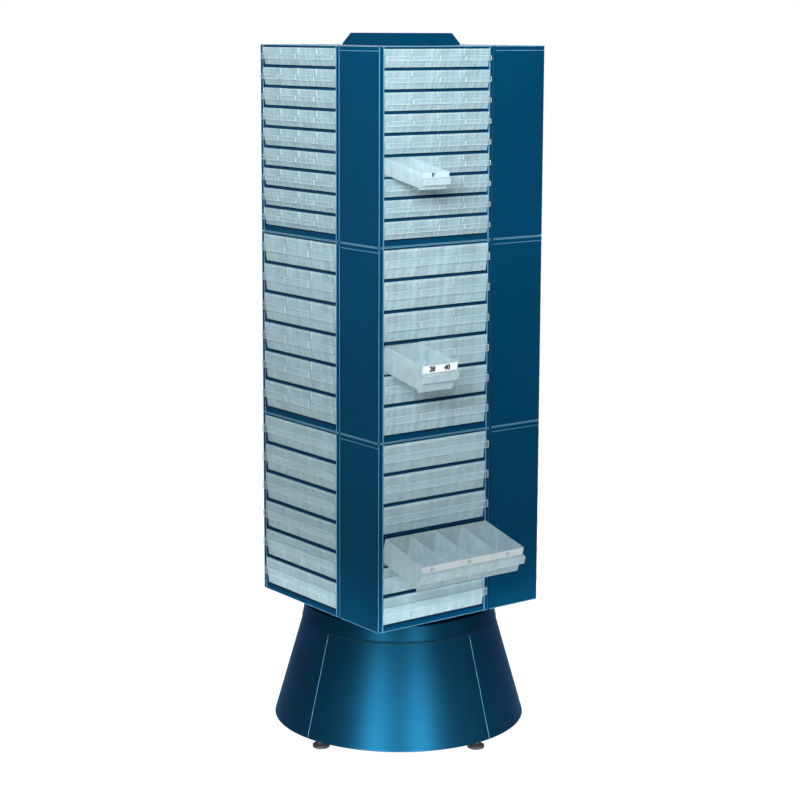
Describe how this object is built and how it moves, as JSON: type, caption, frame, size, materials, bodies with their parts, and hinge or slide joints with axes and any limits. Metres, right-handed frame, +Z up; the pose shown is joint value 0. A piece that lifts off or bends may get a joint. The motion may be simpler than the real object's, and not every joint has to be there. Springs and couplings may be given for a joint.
{
  "type": "revolving storage tower",
  "caption": "Free-standing tower of steel drawer cabinets with clear plastic drawers, turning on a conical base with levelling feet.",
  "frame": {"origin": "the turning axis at floor level, between the four levelling feet", "axes": "+Z up along the turning axis; -Y is the side whose three drawers stand open; +X to the right of that side"},
  "size_m": [0.575, 0.6512, 1.587],
  "materials": {
    "cabinet_paint": "satin blue powder coat",
    "base_paint": "satin blue enamel",
    "frame_paint": "plain dark primer",
    "clear_plastic": "clear moulded polystyrene",
    "glide_plastic": "clear moulded polystyrene",
    "steel": "bright zinc plate",
    "foot_rubber": "matt black"
  },
  "bodies": {
    "base": {"base_frame": "frame_paint", "base_top_plate": "frame_paint", "base_hoop": "frame_paint", "skirt_panel_1": "base_paint", "skirt_panel_2": "base_paint", "skirt_panel_3": "base_paint", "skirt_panel_4": "base_paint", "seam_strips": "frame_paint", "collar_ring": "base_paint", "lower_race": "steel", "bearing_balls": "steel", "pivot_bolt": "steel"},
    "foot_1": {"levelling_foot_1": "foot_rubber"},
    "foot_2": {"levelling_foot_2": "foot_rubber"},
    "foot_3": {"levelling_foot_3": "foot_rubber"},
    "foot_4": {"levelling_foot_4": "foot_rubber"},
    "tower": {"upper_race": "steel", "carrier_plate": "frame_paint", "column_tube": "frame_paint", "column_brackets": "frame_paint", "bracket_screws": "steel", "level_washers": "foot_rubber", "cabinet_covers": "cabinet_paint", "top_cap": "cabinet_paint", "cabinet_bottom_front": "cabinet_paint", "cabinet_bottom_right": "cabinet_paint", "cabinet_bottom_back": "cabinet_paint", "cabinet_bottom_left": "cabinet_paint", "cabinet_middle_front": "cabinet_paint", "cabinet_middle_right": "cabinet_paint", "cabinet_middle_back": "cabinet_paint", "cabinet_middle_left": "cabinet_paint", "cabinet_top_front": "cabinet_paint", "cabinet_top_right": "cabinet_paint", "cabinet_top_back": "cabinet_paint", "cabinet_top_left": "cabinet_paint", "bottom_shelves": "cabinet_paint", "middle_shelves": "cabinet_paint", "top_shelves": "cabinet_paint", "wide_drawers_closed": "clear_plastic", "medium_drawers_closed": "clear_plastic", "small_drawers_closed": "clear_plastic"},
    "wide_drawer_front_1": {"wide_drawer_front_1": "clear_plastic"},
    "wide_drawer_front_2": {"wide_drawer_front_2": "clear_plastic"},
    "wide_drawer_front_3": {"wide_drawer_front_3": "clear_plastic"},
    "wide_drawer_front_6": {"wide_drawer_front_6": "clear_plastic"},
    "wide_drawer_left_4": {"wide_drawer_left_4": "clear_plastic"},
    "medium_drawer_front_4_2": {"medium_drawer_front_4_2": "clear_plastic"},
    "medium_drawer_front_4_3": {"medium_drawer_front_4_3": "clear_plastic"},
    "small_drawer_front_6_2": {"small_drawer_front_6_2": "clear_plastic"},
    "small_drawer_front_6_3": {"small_drawer_front_6_3": "clear_plastic"},
    "small_drawer_front_6_4": {"small_drawer_front_6_4": "clear_plastic"},
    "small_drawer_left_6_4": {"small_drawer_left_6_4": "clear_plastic"},
    "wide_drawer_front_4_glide": {"wide_drawer_front_4_glide": "glide_plastic"},
    "wide_drawer_front_4": {"wide_drawer_front_4_open": "clear_plastic"},
    "medium_drawer_front_4_1_glide": {"medium_drawer_front_4_1_glide": "glide_plastic"},
    "medium_drawer_front_4_1": {"medium_drawer_front_4_1_open": "clear_plastic"},
    "small_drawer_front_6_1_glide": {"small_drawer_front_6_1_glide": "glide_plastic"},
    "small_drawer_front_6_1": {"small_drawer_front_6_1_open": "clear_plastic"}
  },
  "joints": [
    {"name": "foot_1_screw", "type": "hinge", "parent": "base", "child": "foot_1", "pos_m": [0.24361, 0.03424, 0.04], "axis": [0, 0, 1], "range_deg": [-720, 720]},
    {"name": "foot_2_screw", "type": "hinge", "parent": "base", "child": "foot_2", "pos_m": [-0.03424, 0.24361, 0.04], "axis": [0, 0, 1], "range_deg": [-720, 720]},
    {"name": "foot_3_screw", "type": "hinge", "parent": "base", "child": "foot_3", "pos_m": [-0.24361, -0.03424, 0.04], "axis": [0, 0, 1], "range_deg": [-720, 720]},
    {"name": "foot_4_screw", "type": "hinge", "parent": "base", "child": "foot_4", "pos_m": [0.03424, -0.24361, 0.04], "axis": [0, 0, 1], "range_deg": [-720, 720]},
    {"name": "tower_turn", "type": "hinge", "parent": "base", "child": "tower", "pos_m": [0, 0, 0.3], "axis": [0, 0, 1], "continuous": true},
    {"name": "wide_drawer_front_1_slide", "type": "slide", "parent": "tower", "child": "wide_drawer_front_1", "axis": [0, -1, 0], "range_m": [0, 0.126]},
    {"name": "wide_drawer_front_2_slide", "type": "slide", "parent": "tower", "child": "wide_drawer_front_2", "axis": [0, -1, 0], "range_m": [0, 0.126]},
    {"name": "wide_drawer_front_3_slide", "type": "slide", "parent": "tower", "child": "wide_drawer_front_3", "axis": [0, -1, 0], "range_m": [0, 0.126]},
    {"name": "wide_drawer_front_6_slide", "type": "slide", "parent": "tower", "child": "wide_drawer_front_6", "axis": [0, -1, 0], "range_m": [0, 0.126]},
    {"name": "wide_drawer_left_4_slide", "type": "slide", "parent": "tower", "child": "wide_drawer_left_4", "axis": [-1, 0, 0], "range_m": [0, 0.126]},
    {"name": "medium_drawer_front_4_2_slide", "type": "slide", "parent": "tower", "child": "medium_drawer_front_4_2", "axis": [0, -1, 0], "range_m": [0, 0.126]},
    {"name": "medium_drawer_front_4_3_slide", "type": "slide", "parent": "tower", "child": "medium_drawer_front_4_3", "axis": [0, -1, 0], "range_m": [0, 0.126]},
    {"name": "small_drawer_front_6_2_slide", "type": "slide", "parent": "tower", "child": "small_drawer_front_6_2", "axis": [0, -1, 0], "range_m": [0, 0.126]},
    {"name": "small_drawer_front_6_3_slide", "type": "slide", "parent": "tower", "child": "small_drawer_front_6_3", "axis": [0, -1, 0], "range_m": [0, 0.126]},
    {"name": "small_drawer_front_6_4_slide", "type": "slide", "parent": "tower", "child": "small_drawer_front_6_4", "axis": [0, -1, 0], "range_m": [0, 0.126]},
    {"name": "small_drawer_left_6_4_slide", "type": "slide", "parent": "tower", "child": "small_drawer_left_6_4", "axis": [-1, 0, 0], "range_m": [0, 0.126]},
    {"name": "wide_drawer_front_4_slide", "type": "slide", "parent": "tower", "child": "wide_drawer_front_4_glide", "axis": [0, -1, 0], "range_m": [-0.126, 0]},
    {"name": "wide_drawer_front_4_droop", "type": "hinge", "parent": "wide_drawer_front_4_glide", "child": "wide_drawer_front_4", "pos_m": [-0.072, -0.222, 0.46333], "axis": [1, 0, 0], "range_deg": [-14.21, 0]},
    {"name": "medium_drawer_front_4_1_slide", "type": "slide", "parent": "tower", "child": "medium_drawer_front_4_1_glide", "axis": [0, -1, 0], "range_m": [-0.126, 0]},
    {"name": "medium_drawer_front_4_1_droop", "type": "hinge", "parent": "medium_drawer_front_4_1_glide", "child": "medium_drawer_front_4_1", "pos_m": [-0.16533, -0.222, 0.88133], "axis": [1, 0, 0], "range_deg": [-10.51, 0]},
    {"name": "small_drawer_front_6_1_slide", "type": "slide", "parent": "tower", "child": "small_drawer_front_6_1_glide", "axis": [0, -1, 0], "range_m": [-0.126, 0]},
    {"name": "small_drawer_front_6_1_droop", "type": "hinge", "parent": "small_drawer_front_6_1_glide", "child": "small_drawer_front_6_1", "pos_m": [-0.177, -0.222, 1.29683], "axis": [1, 0, 0], "range_deg": [-9.81, 0]}
  ],
  "couplings": [
    {"joint": "wide_drawer_front_4_droop", "follows": "wide_drawer_front_4_slide", "rad_per_m": 1.967},
    {"joint": "medium_drawer_front_4_1_droop", "follows": "medium_drawer_front_4_1_slide", "rad_per_m": 1.4544},
    {"joint": "small_drawer_front_6_1_droop", "follows": "small_drawer_front_6_1_slide", "rad_per_m": 1.3575}
  ]
}
